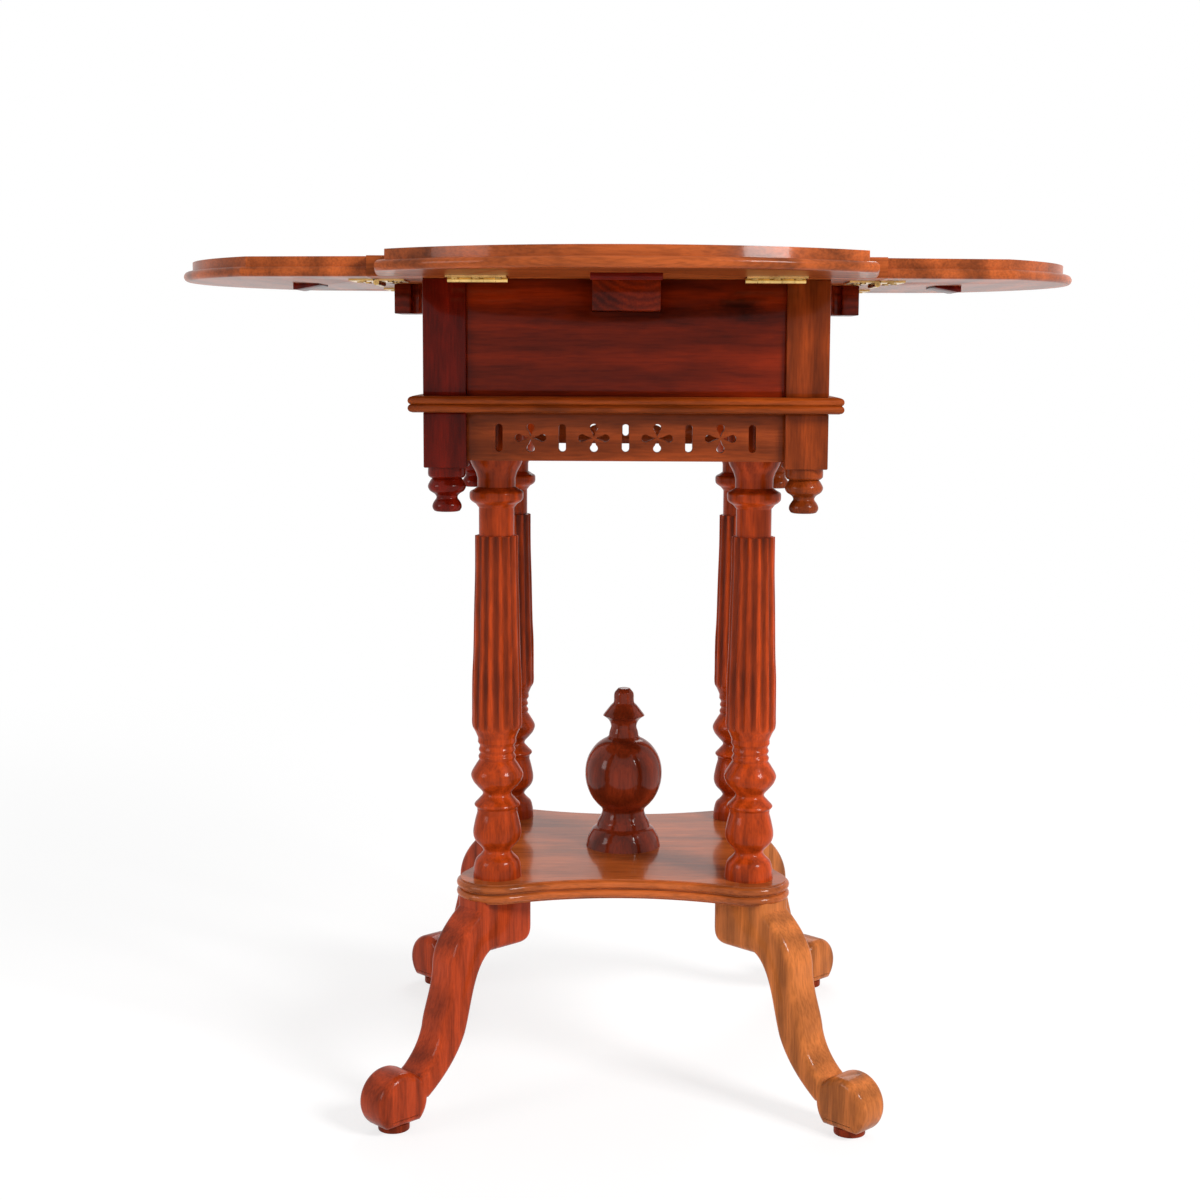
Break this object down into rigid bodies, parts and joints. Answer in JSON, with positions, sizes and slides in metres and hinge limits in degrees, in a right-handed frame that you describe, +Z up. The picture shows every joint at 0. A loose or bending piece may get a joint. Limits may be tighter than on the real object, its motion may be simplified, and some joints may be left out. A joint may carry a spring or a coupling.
{
  "type": "chess table",
  "caption": "Square chess table with round-edged drop leaves on sliding supports, a pierced box, fluted columns, a platform and scrolled legs.",
  "frame": {"origin": "on the floor, under the middle of the table top", "axes": "+Z up; -Y towards the side shown in the picture; +X to the right of a person facing that side"},
  "size_m": [0.82, 0.82, 0.762],
  "materials": {
    "panel_wood": "glossy lacquered teak",
    "light_inlay": "glossy lacquered light veneer",
    "dark_inlay": "glossy lacquered dark veneer",
    "leaf_wood": "glossy lacquered teak",
    "dark_wood": "glossy dark red-brown lacquer",
    "box_wood": "glossy streaked teak",
    "tan_wood": "glossy tan-brown teak",
    "waist_wood": "glossy red-brown lacquer",
    "column_wood": "glossy red-brown lacquer",
    "platform_wood": "glossy orange-tan lacquer",
    "finial_wood": "glossy dark brown lacquer",
    "leg_wood": "glossy honey to orange-brown lacquer",
    "pad_wood": "satin dark wood",
    "hinge_brass": "polished",
    "screw_brass": "polished"
  },
  "bodies": {
    "table": {"centre_panel": "panel_wood", "light_squares": "light_inlay", "dark_squares": "dark_inlay", "loper_guide_front": "tan_wood", "loper_guide_right": "tan_wood", "loper_guide_back": "tan_wood", "loper_guide_left": "tan_wood", "upper_panel_front": "box_wood", "upper_panel_right": "box_wood", "upper_panel_back": "box_wood", "upper_panel_left": "box_wood", "corner_post_fl": "dark_wood", "corner_post_fr": "dark_wood", "corner_post_br": "dark_wood", "corner_post_bl": "dark_wood", "waist_board": "waist_wood", "corner_drop_fl": "dark_wood", "corner_drop_fr": "dark_wood", "corner_drop_br": "dark_wood", "corner_drop_bl": "dark_wood", "fret_board_front": "tan_wood", "fret_board_right": "tan_wood", "fret_board_back": "tan_wood", "fret_board_left": "tan_wood", "column_fl": "column_wood", "column_fr": "column_wood", "column_br": "column_wood", "column_bl": "column_wood", "platform": "platform_wood", "finial": "finial_wood", "leg_fl": "leg_wood", "leg_fr": "leg_wood", "leg_br": "leg_wood", "leg_bl": "leg_wood", "foot_pads": "pad_wood", "hinge_plates_fixed": "hinge_brass", "hinge_pins": "screw_brass", "hinge_screws_fixed": "screw_brass"},
    "leaf_front": {"leaf_front": "leaf_wood", "leaf_wedge_front": "dark_wood", "hinge_plates_front": "hinge_brass", "hinge_screws_front": "screw_brass"},
    "leaf_right": {"leaf_right": "leaf_wood", "leaf_wedge_right": "dark_wood", "hinge_plates_right": "hinge_brass", "hinge_screws_right": "screw_brass"},
    "leaf_back": {"leaf_back": "leaf_wood", "leaf_wedge_back": "dark_wood", "hinge_plates_back": "hinge_brass", "hinge_screws_back": "screw_brass"},
    "leaf_left": {"leaf_left": "leaf_wood", "leaf_wedge_left": "dark_wood", "hinge_plates_left": "hinge_brass", "hinge_screws_left": "screw_brass"},
    "loper_front": {"loper_front": "box_wood"},
    "loper_right": {"loper_right": "box_wood"},
    "loper_back": {"loper_back": "box_wood"},
    "loper_left": {"loper_left": "box_wood"}
  },
  "joints": [
    {"name": "leaf_front_hinge", "type": "hinge", "parent": "table", "child": "leaf_front", "pos_m": [0, -0.2165, 0.7422], "axis": [-1, 0, 0], "range_deg": [-90, 0]},
    {"name": "leaf_right_hinge", "type": "hinge", "parent": "table", "child": "leaf_right", "pos_m": [0.2165, 0, 0.7422], "axis": [0, -1, 0], "range_deg": [-90, 0]},
    {"name": "leaf_back_hinge", "type": "hinge", "parent": "table", "child": "leaf_back", "pos_m": [0, 0.2165, 0.7422], "axis": [1, 0, 0], "range_deg": [-90, 0]},
    {"name": "leaf_left_hinge", "type": "hinge", "parent": "table", "child": "leaf_left", "pos_m": [-0.2165, 0, 0.7422], "axis": [0, 1, 0], "range_deg": [-90, 0]},
    {"name": "loper_front_slide", "type": "slide", "parent": "table", "child": "loper_front", "axis": [0, -1, 0], "range_m": [-0.041, 0.068]},
    {"name": "loper_right_slide", "type": "slide", "parent": "table", "child": "loper_right", "axis": [1, 0, 0], "range_m": [-0.041, 0.068]},
    {"name": "loper_back_slide", "type": "slide", "parent": "table", "child": "loper_back", "axis": [0, 1, 0], "range_m": [-0.041, 0.068]},
    {"name": "loper_left_slide", "type": "slide", "parent": "table", "child": "loper_left", "axis": [-1, 0, 0], "range_m": [-0.041, 0.068]}
  ]
}
